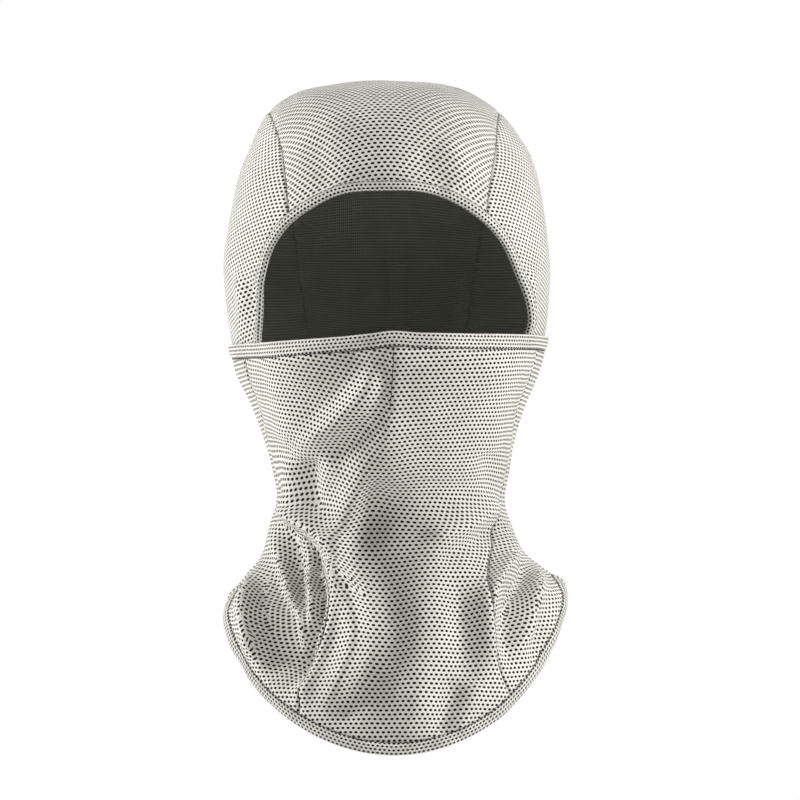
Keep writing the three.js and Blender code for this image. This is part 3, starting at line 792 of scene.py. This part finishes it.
def panel(name, cloth, out, material, sewn_edges, rows=None, stretch=(1, 1)):
    """A panel of cloth whose sewn edges are drawn down into their seams."""
    points, faces, uv = cloth
    depth = np.full(len(points), float(out))
    for line in sewn_edges:
        depth -= SEAM_DIP * np.exp(-(line_gap(points, line) / SEAM_DIP_WIDTH) ** 2)
    worn = dress(points, depth)
    flat = relaxed_map(worn, faces, uv)
    if rows:
        flat[:, 1] += rows(points)
    piece = make_piece(name, worn, faces, flat / stretch, material)
    thick = piece.modifiers.new("thickness", "SOLIDIFY")
    thick.thickness = CLOTH_THICK * MM
    thick.offset = -1
    return piece


def other_hand(cloth):
    """The wearer's right one of a pair of panels, from the left one."""
    points, faces, uv = cloth
    return mirrored(points), [face[::-1] for face in faces], uv * np.array([-1, 1])


def tube_faces(around, count, closed=False):
    """Faces of a tube of count rings of around points each, with ends unless it closes on itself."""
    faces = []
    for i in range(count if closed else count - 1):
        a, b = i * around, (i + 1) % count * around
        for j in range(around):
            k = (j + 1) % around
            faces.append((a + j, a + k, b + k, b + j))
    if not closed:
        faces.append(tuple(range(around))[::-1])
        faces.append(tuple((count - 1) * around + j for j in range(around)))
    return faces


FOLDED_DENSITY = 1.16    # a fold draws the dots of its knit closer together


def sweep(name, lines, closed, material):
    """A piece from lines of points that run along it side by side and close round its section."""
    around, count = len(lines), len(lines[0])
    points = np.stack(lines, axis=1).reshape(-1, 3)
    girth = [np.linalg.norm(lines[(j + 1) % around] - lines[j], axis=1).mean() for j in range(around)]
    girth = np.concatenate([[0], np.cumsum(girth[:-1])])
    uv = np.array([(u, v) for u in run_of(lines[0]) for v in girth]) * FOLDED_DENSITY
    return make_piece(name, points, tube_faces(around, count, closed), uv, material)


STITCH_LENGTH, STITCH_PITCH = 2.3, 2.9
STITCH_RINGS, STITCH_SIDES = 7, 8
STITCH_END = 0.04        # square of how much of its thickness a stitch keeps at its ends
LOOK_AHEAD = 0.8


def stitches(line, radius, lift, length=STITCH_LENGTH, pitch=STITCH_PITCH):
    """A row of stitches along a dressed line with its outward directions: points, faces and map."""
    path, normal = line
    run = run_of(path)
    starts = np.arange(pitch / 2, run[-1] - pitch / 2, pitch)
    centre = at_run(path, run, starts)
    out = unit(at_run(normal, run, starts))
    ahead = at_run(path, run, starts + LOOK_AHEAD) - centre
    ahead = unit(ahead - out * (ahead * out).sum(1)[:, None])
    aside = np.cross(out, ahead)
    points, faces, uv = [], [], []
    shares = np.linspace(-1, 1, STITCH_RINGS)
    turns = np.arange(STITCH_SIDES) * 2 * math.pi / STITCH_SIDES
    for share in shares:
        size = radius * math.sqrt(max(STITCH_END, 1 - abs(share) ** 3))
        rise = lift * (1 - share**2)
        for turn in turns:
            points.append(centre + ahead * (share * length / 2) + out * (rise + size * math.sin(turn))
                          + aside * size * math.cos(turn))
            uv.append((share * length / 2, turn * radius))
    each = len(points)
    points = np.stack(points, axis=1).reshape(-1, 3)
    one = tube_faces(STITCH_SIDES, STITCH_RINGS)
    for at in range(len(starts)):
        faces += [tuple(at * each + corner for corner in face) for face in one]
    return points, faces, np.tile(np.array(uv), (len(starts), 1))


def dressed(line, out):
    """A line of the worn shape as it lies on the cloth, with its outward directions."""
    return dress(line, out), normals(line)


def join_parts(parts):
    """Several sets of points, faces and map as one."""
    points, faces, uv = [], [], []
    base = 0
    for some_points, some_faces, some_uv in parts:
        points.append(some_points)
        faces += [tuple(corner + base for corner in face) for face in some_faces]
        uv.append(some_uv)
        base += len(some_points)
    return np.vstack(points), faces, np.vstack(uv)


# Stitch rows are sewn in the near-black thread, painted crease shade, unless told otherwise.
def stitch_row(name, line, out, material=CREASE_SHADE_THREAD, radius=0.3, lift=0.1):
    path = resample(line, 1.0)
    return make_piece(name, *stitches(dressed(path, out), radius, lift), material)


TAPE_HALF, TAPE_THICK, TAPE_CROWN = 2.2, 0.5, 0.12


def seam_tape(line, out):
    """The seam allowance behind a seam, as a flat tape: points, faces and map."""
    across = unit(np.cross(normals(line), np.gradient(line, axis=0)))
    section = [(-1, 0), (0, TAPE_CROWN), (1, 0), (1, -TAPE_THICK), (-1, -TAPE_THICK)]
    rails = [dress(line + across * (side * TAPE_HALF), out + rise) for side, rise in section]
    around = len(rails)
    points = np.stack(rails, axis=1).reshape(-1, 3)
    uv = np.array([(u, 1.0 * j) for u in run_of(line) for j in range(around)])
    return points, tube_faces(around, len(line)), uv


SEAM_DEPTH, TAPE_DEPTH = 0.8, 0.55
SEAM_RADIUS, SEAM_LIFT = 0.2, 0.06
SEAM_STITCH, SEAM_PITCH = 2.2, 2.35


# Seams are sewn in the near-black thread, painted crease shade, unless told otherwise.
def seam(name, line, out, material=CREASE_SHADE_THREAD):
    """A sewn seam: the thread that shows in the crease between two panels, on its allowance."""
    thread_line = dressed(resample(line, 1.0), out - SEAM_DEPTH)
    thread = stitches(thread_line, SEAM_RADIUS, SEAM_LIFT, SEAM_STITCH, SEAM_PITCH)
    tape = seam_tape(resample(line, 2.0)[2:-2], out - SEAM_DEPTH - TAPE_DEPTH)
    piece = make_piece(name, *join_parts([thread, tape]), material)
    piece.data.materials.append(BINDING_KNIT)
    slots = np.zeros(len(piece.data.polygons), np.int32)
    slots[len(thread[1]):] = 1
    piece.data.polygons.foreach_set("material_index", slots)
    return piece


# ---- outlines of the panels

BINDING_LAP = 3.0        # how far the hood's cloth stops short of the opening, inside the binding
CROWN_LINE = crown_point(*spline(CROWN_SEAM, 14).T)
OPENING_EDGE = opening_line(BINDING_LAP)
CLOSE = 0.25             # half the gap left between two panels at a seam


def hood_lines():
    """The crown seam between the opening and the nape, and the left half of the opening's edge."""
    front_view = OPENING_EDGE[:, [0, 2]]
    inside = within(CROWN_LINE[:, [0, 2]], front_view) & (CROWN_LINE[:, 1] < 0)
    below_nape = (CROWN_LINE[:, 1] > 0) & (
        CROWN_LINE[:, 2] < NAPE_Z + NAPE_SLOPE * (CROWN_LINE[:, 1] - NAPE_Y) - NAPE_LAP)
    crown = CROWN_LINE[~inside & ~below_nape]
    start = np.argmin(((OPENING_EDGE - crown[0]) ** 2).sum(1))
    edge = np.roll(OPENING_EDGE, -start, 0)
    if edge[len(edge) // 4, 2] > edge[0, 2]:
        edge = np.roll(OPENING_EDGE[::-1], -(len(edge) - 1 - start), 0)
    left = edge[:np.argmax(edge[:, 0] < 0)]
    return crown, left


CROWN_SEWN, LEFT_EDGE = hood_lines()
BROW_HALF = 52
BROW_EDGE = OPENING_EDGE[
    (OPENING_EDGE[:, 2] > CROWN_SEWN[0, 2]) & (np.abs(OPENING_EDGE[:, 0]) < BROW_HALF)]
BROW_EDGE = BROW_EDGE[np.argsort(BROW_EDGE[:, 0])]
CHIN_LINE = round_point(np.full(9, -90.0), np.linspace(OPENING_EDGE[:, 2].min(), FLAP_BOTTOM, 9))


def crown_outline(gap):
    sewn = CROWN_SEWN - np.array([gap, 0, 0])
    back = sewn[-1]
    nape_angle = np.linspace(angle_of(back[None])[0], 180 - angle_of(back[None])[0], 40)
    nape = nape_point(nape_angle, -NAPE_LAP)
    return np.vstack([BROW_EDGE, sewn, nape[1:-1], mirrored(sewn)[::-1]])


def hood_outline(gap):
    sewn = CROWN_SEWN + np.array([gap, 0, 0])
    bottom = round_point(np.linspace(-90, FLAP_TURN, 60), FLAP_BOTTOM)
    bottom = bottom[bottom[:, 1] < FLAP_BACK]
    rise_z = np.linspace(FLAP_BOTTOM, NAPE_Z - NAPE_LAP, 40)
    side = profile(rise_z)
    share = (FLAP_BACK / side[2]) ** SECTION_POWER
    rise = np.column_stack([side[0] * (1 - share) ** (1 / SECTION_POWER), 0 * rise_z + FLAP_BACK, rise_z])
    nape = nape_point(np.linspace(angle_of(rise[-1:])[0], angle_of(sewn[-1:])[0], 50), -NAPE_LAP)
    return np.vstack([LEFT_EDGE, CHIN_LINE[1:] + np.array([gap, 0, 0]), bottom[1:], rise[1:],
                      nape[1:-1], sewn[::-1]])


FRONT_LINES = [seam_line(seam, front_point) for seam in (LEFT_FRONT_SEAM, RIGHT_FRONT_SEAM)]
LEFT_SIDE_LINE = seam_line(SIDE_SEAM, round_point)
SIDE_LINES = [LEFT_SIDE_LINE, mirrored(LEFT_SIDE_LINE)]
PANEL_TOP = MASK_HEM + 0.2
PANEL_FOOT = HEM + 0.2


def trimmed(line, top_point):
    """The stretch of a seam between a panel's top, given round the garment, and the bottom hem."""
    angle = angle_of(line, -270)
    top = top_point(angle)[:, 2]
    foot = hem_height(angle) + PANEL_FOOT
    return line[(line[:, 2] <= top) & (line[:, 2] >= foot)]


def mask_top(angle):
    return mask_point(angle, PANEL_TOP)


def nape_top(angle):
    return nape_point(angle, 0)


FRONTS_SEWN = [trimmed(line, mask_top) for line in FRONT_LINES]
SIDES_SEWN = [trimmed(line, nape_top) for line in SIDE_LINES]
TUBE_RADIUS = 75
ROW_POINTS = 120
CLOSE_TURN = math.degrees(CLOSE / TUBE_RADIUS)


def band_outline(domain, first, last, top_point):
    """A panel of the tube between two seams, the first at the lower angle, as its closed outline."""
    first_angle = domain.angle(first) + CLOSE_TURN
    last_angle = domain.angle(last) - CLOSE_TURN
    first = round_point(first_angle, first[:, 2])
    last = round_point(last_angle, last[:, 2])
    upper = top_point(np.linspace(first_angle[0], last_angle[0], ROW_POINTS))
    lower = hem_point(np.linspace(last_angle[-1], first_angle[-1], ROW_POINTS), PANEL_FOOT)
    return np.vstack([upper, last[1:-1], lower, first[-2:0:-1]])


# ---- the pieces

HOOD = "hood"


def stays(piece, slot, *nodes):
    """A piece that keeps still on the hood's body and stands for its CAD nodes."""
    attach(piece, HOOD)
    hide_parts(*nodes)
    return piece


def follows(piece, slot, *nodes):
    """A piece baked into the frame's space, standing for its CAD nodes, which are hidden."""
    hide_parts(*nodes)
    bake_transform(piece)
    return piece


def build_hood():
    crown = lay_cloth(crown_outline(CLOSE), Crown, HOOD_SPACING)
    left = lay_cloth(hood_outline(CLOSE), Round(0), HOOD_SPACING)
    right = other_hand(left)
    crown_seams = [CROWN_SEWN, mirrored(CROWN_SEWN)]
    made = {}
    for side, cloth, sewn, rows, name, node in (
            ("crown", crown, crown_seams, brow_rows, "crown_cloth", "crown_panel"),
            ("left", left, crown_seams[:1], temple_rows, "left_hood_cloth", "left_hood_panel"),
            ("right", right, crown_seams[1:], temple_rows, "right_hood_cloth", "right_hood_panel")):
        made[side] = panel(name, cloth, HOOD_OUT, KNIT, sewn, rows, HOOD_STRETCH)
        stays(made[side], "mesh_knit", node)
    cheek = lay_cloth(hood_outline(0), Round(0), HOOD_SPACING)
    lining = join_parts([lay_cloth(crown_outline(0), Crown, HOOD_SPACING), cheek, other_hand(cheek)])
    made["lining"] = panel("hood_lining_cloth", lining, LINING_OUT, LINING_KNIT, [])
    stays(made["lining"], "lining_knit", "hood_lining")
    # The near-black thread of the right crown seam and the chin seam is painted crease shade.
    stays(seam("left_crown_stitches", crown_seams[0], HOOD_OUT, PALE_THREAD), "thread", "left_crown_seam")
    stays(seam("right_crown_stitches", crown_seams[1], HOOD_OUT), "thread", "right_crown_seam")
    stays(seam("chin_stitches", CHIN_LINE, HOOD_OUT), "thread", "chin_seam")
    return made


BINDING_WIDTH = 5.2
BINDING_ROW_IN, BINDING_ROW_OUT = 0.9, 0.85
# The binding's section, wrapped over the cloth's edge: across the cloth, and out of it.
BINDING_SECTION = [
    (BINDING_WIDTH, 0.05), (BINDING_WIDTH - 0.4, 0.75), (BINDING_WIDTH * 0.55, 0.95), (1.4, 0.8), (0.35, 0.3),
    (0.0, -0.7), (0.1, -1.6), (0.6, -2.6), (1.6, -3.1), (BINDING_WIDTH - 0.4, -3.1), (BINDING_WIDTH, -2.6),
    (BINDING_WIDTH - 0.4, -2.3), (2.2, -2.3), (1.6, -1.6), (1.5, -0.7), (2.2, -0.1),
]


def build_binding():
    rails = [dress(opening_line(across), out) for across, out in BINDING_SECTION]
    binding = sweep("face_binding", rails, True, BINDING_KNIT)
    stays(binding, "binding_knit", "face_opening_binding")
    line = opening_line(BINDING_WIDTH - BINDING_ROW_IN)
    closed = np.vstack([line, line[:1]])
    row = stitch_row("face_binding_stitches", closed, HOOD_OUT + BINDING_ROW_OUT, PALE_THREAD, radius=0.24)
    stays(row, "thread", "face_binding_stitching")
    return binding


# The mask's hem, folded over its top edge: down from the edge, and out of the worn shape.
MASK_SECTION = [
    (7.4, 1.0), (6.9, 1.55), (6.0, 1.95), (4.4, 2.15), (2.6, 2.2), (1.1, 2.15), (0.25, 1.95), (0.0, 1.6),
    (0.2, 1.2), (0.9, 0.9), (3.0, 0.75), (6.0, 0.7), (7.3, 0.6),
]


MASK_RIPPLE = [(0.14, 31, 0), (0.1, 17, 40)]      # height, waves in a turn, phase in degrees
HEM_RIPPLE = [(0.16, 37, 0), (0.12, 23, 60)]
ELASTIC_SECTION = [(1.4, 1.2), (1.4, 1.6), (5.8, 1.6), (5.8, 1.2)]
MASK_ROW_DROP = MASK_HEM + 0.35
HEM_ROW_ABOVE = HEM + 0.3
ROW_RADIUS, ROW_DEPTH = 0.34, 0.55      # the rows of stitching at the hems
DART_DEPTH, NAPE_DEPTH = 0.4, 0.6


def unevenness(angles, ripple):
    return sum(height * np.sin(np.radians(angles * count + phase)) for height, count, phase in ripple)


def build_mask():
    angles = np.linspace(-180 - MASK_ENDS, MASK_ENDS, 240)
    ripple = unevenness(angles, MASK_RIPPLE)
    rails = [dress(mask_point(angles, drop), out + ripple * (drop > 1)) for drop, out in MASK_SECTION]
    hem = sweep("mask_hem_band", rails, False, BINDING_KNIT)
    follows(hem, "binding_knit", "mask_top_hem")
    inner = np.linspace(-180 - MASK_ENDS + 1, MASK_ENDS - 1, 200)
    rails = [dress(mask_point(inner, drop), out) for drop, out in ELASTIC_SECTION]
    elastic = sweep("mask_elastic_band", rails, False, ELASTIC)
    follows(elastic, "elastic", "mask_hem_elastic")
    line = mask_point(angles, MASK_ROW_DROP)
    row = stitch_row("mask_hem_stitches", line, TUBE_OUT - ROW_DEPTH, radius=ROW_RADIUS)
    follows(row, "thread", "mask_hem_stitching")
    return hem


def tube_panel(name, middle, first, last, top_point, sewn, rows=None):
    """A panel of the tube between two seams, the first at the lower angle."""
    domain = Round(middle)
    cloth = lay_cloth(band_outline(domain, first, last, top_point), domain, TUBE_SPACING)
    return panel(name, cloth, TUBE_OUT, KNIT, sewn, rows)


def build_tube():
    mask_row = mask_point(np.linspace(-180 - MASK_ENDS - 4, MASK_ENDS + 4, 220), MASK_ROW_DROP)
    hem_row = hem_point(np.linspace(0, 360, 400), HEM_ROW_ABOVE)
    nape_row = nape_point(np.linspace(10, 170, 200), 0)
    dart = dart_line()
    (left_sewn, right_sewn), (left_line, right_line) = FRONTS_SEWN, FRONT_LINES
    left_side, right_side = (trimmed(line, mask_top) for line in SIDE_LINES)
    made = {}
    made["front"] = tube_panel("front_cloth", -90, right_sewn, left_sewn, mask_top,
                               [*FRONT_LINES, mask_row, hem_row, dart], mask_rows)
    made["left"] = tube_panel("left_neck_cloth", 0, left_sewn, left_side, mask_top,
                              [left_line, SIDE_LINES[0], mask_row, hem_row])
    made["right"] = tube_panel("right_neck_cloth", 180, right_side, right_sewn, mask_top,
                               [right_line, SIDE_LINES[1], mask_row, hem_row])
    made["back"] = tube_panel("back_cloth", 90, *SIDES_SEWN, nape_top, [*SIDE_LINES, hem_row, nape_row])
    follows(made["front"], "mesh_knit", "front_panel")
    follows(made["left"], "mesh_knit", "left_neck_panel")
    follows(made["right"], "mesh_knit", "right_neck_panel")
    stays(made["back"], "mesh_knit", "back_panel")
    # The near-black thread of the right front and side seams is painted crease shade.
    for name, line, kind, ride, node in (
            ("left_front_stitches", left_sewn, PALE_THREAD, follows, "left_front_seam"),
            ("right_front_stitches", right_sewn, CREASE_SHADE_THREAD, follows, "right_front_seam"),
            ("left_side_stitches", SIDES_SEWN[0], CREASE_SHADE_THREAD, stays, "left_side_seam"),
            ("right_side_stitches", SIDES_SEWN[1], CREASE_SHADE_THREAD, stays, "right_side_seam")):
        ride(seam(name, line, TUBE_OUT, kind), "thread", node)
    dart_row = stitch_row("nose_dart_stitches", dart, TUBE_OUT - DART_DEPTH)
    follows(dart_row, "thread", "nose_dart_seam")
    nape = nape_point(np.linspace(18, 162, 200), -NAPE_DEPTH)
    stays(stitch_row("nape_stitches", nape, TUBE_OUT - NAPE_DEPTH, radius=0.26), "thread", "nape_seam")
    return made


def dart_line():
    top = mask_point(np.array([-90.0]), PANEL_TOP)[0, 2]
    return round_point(np.full(40, -90.0), np.linspace(top, top - DART_LENGTH, 40))


# The bottom hem, folded under: up from the edge, and out of the worn shape.
HEM_SECTION = [
    (6.4, 1.0), (5.9, 1.7), (4.8, 2.3), (3.0, 2.6), (1.4, 2.5), (0.3, 2.0), (0.0, 1.3), (0.3, 0.7),
    (1.4, 0.4), (3.5, 0.35), (6.2, 0.45),
]


def build_hem():
    angles = np.linspace(0, 360, 460, endpoint=False)
    ripple = unevenness(angles, HEM_RIPPLE)
    rails = [dress(hem_point(angles, up), out + ripple) for up, out in HEM_SECTION]
    hem = sweep("bottom_hem_band", rails, True, BINDING_KNIT)
    stays(hem, "binding_knit", "bottom_hem")
    line = hem_point(np.linspace(0, 360, 461), HEM_ROW_ABOVE)
    row = stitch_row("bottom_hem_stitches", line, TUBE_OUT - ROW_DEPTH, radius=ROW_RADIUS)
    stays(row, "thread", "bottom_hem_stitching")
    return hem


# ---- stage, lights and camera

VIEW_WIDTH_M = 0.408
VIEW_CENTRE_M = (0.0061, -0.1607)
CAMERA_AWAY_M = 8.0
SENSOR_MM = 36
FLOOR_Z_M = -0.50
FLOOR_RADIUS_M = 2.2
FLOOR_GLOW_FROM_M = 0.8
FLOOR_GLOW = 0.6
FLOOR_DARK, FLOOR_LIGHT = (0.84, 0.84, 0.83, 1), (0.87, 0.87, 0.86, 1)
AMBIENT_COLOUR, AMBIENT = (1.0, 0.995, 0.98, 1), 0.07
LIGHTS_AIM = (0, 0, -0.17)
# Name, place, size and power.
LIGHTS = [
    ("side_left", (1.5, -0.35, 0.3), 0.5, 24),
    ("side_right", (-1.5, 0.05, 0.3), 0.45, 26.5),
    ("front_fill", (0.5, -2.3, 0.3), 1.4, 2.0),
    ("back_fill", (0.4, 2.2, 0.6), 1.4, 12),
    ("top_soft", (0.1, -0.7, 1.5), 1.0, 12),
]


def build_floor():
    nodes = Nodes("pale_floor")
    place = nodes.add("ShaderNodeNewGeometry").outputs[0]
    colour = nodes.mix(nodes.noise(place, 3.0), FLOOR_DARK, FLOOR_LIGHT)
    nodes.feed(nodes.shader.inputs["Base Color"], colour)
    nodes.shader.inputs["Roughness"].default_value = 0.8
    reach = nodes.add("ShaderNodeVectorMath", operation="LENGTH")
    nodes.feed(reach.inputs[0], place)
    nodes.feed(nodes.shader.inputs["Emission Color"], colour)
    glow = nodes.spread(reach.outputs["Value"], FLOOR_GLOW_FROM_M, FLOOR_RADIUS_M, 0.0, FLOOR_GLOW)
    nodes.feed(nodes.shader.inputs["Emission Strength"], glow)
    turns = np.linspace(0, 2 * math.pi, 96, endpoint=False)
    points = [(FLOOR_RADIUS_M * math.cos(t), FLOOR_RADIUS_M * math.sin(t), FLOOR_Z_M) for t in turns]
    mesh = bpy.data.meshes.new("floor")
    mesh.from_pydata(points, [], [tuple(range(len(points)))])
    mesh.materials.append(nodes.material)
    floor = bpy.data.objects.new("floor", mesh)
    bpy.context.scene.collection.objects.link(floor)


def build_lights():
    for name, place, size, power in LIGHTS:
        light = bpy.data.lights.new(name, "AREA")
        light.shape = "DISK"
        light.size = size
        light.energy = power
        lamp = bpy.data.objects.new(name, light)
        lamp.location = place
        lamp.rotation_euler = (Vector(LIGHTS_AIM) - Vector(place)).to_track_quat("-Z", "Y").to_euler()
        bpy.context.scene.collection.objects.link(lamp)


def build_world():
    """White behind the object, and a dimmer even light on it."""
    world = bpy.data.worlds.new("studio")
    world.use_nodes = True
    tree = world.node_tree
    behind = tree.nodes["Background"]
    behind.inputs["Color"].default_value = (1, 1, 1, 1)
    behind.inputs["Strength"].default_value = 1.0
    around = tree.nodes.new("ShaderNodeBackground")
    around.inputs["Color"].default_value = AMBIENT_COLOUR
    around.inputs["Strength"].default_value = AMBIENT
    choose = tree.nodes.new("ShaderNodeMixShader")
    path = tree.nodes.new("ShaderNodeLightPath")
    tree.links.new(path.outputs["Is Camera Ray"], choose.inputs[0])
    tree.links.new(around.outputs[0], choose.inputs[1])
    tree.links.new(behind.outputs[0], choose.inputs[2])
    tree.links.new(choose.outputs[0], tree.nodes["World Output"].inputs[0])
    bpy.context.scene.world = world
    bpy.context.scene.view_settings.view_transform = "Standard"


def build_camera():
    camera = bpy.data.objects.new("camera", bpy.data.cameras.new("camera"))
    camera.data.sensor_width = SENSOR_MM
    camera.data.lens = SENSOR_MM * CAMERA_AWAY_M / VIEW_WIDTH_M
    camera.data.clip_end = 20
    camera.location = (VIEW_CENTRE_M[0], -CAMERA_AWAY_M, VIEW_CENTRE_M[1])
    camera.rotation_euler = (math.pi / 2, 0, 0)
    bpy.context.scene.collection.objects.link(camera)
    bpy.context.scene.camera = camera


build_camera()
build_world()
build_lights()
build_floor()
hood = build_hood()
binding = build_binding()
mask_hem = build_mask()
tube = build_tube()
bottom_hem = build_hem()
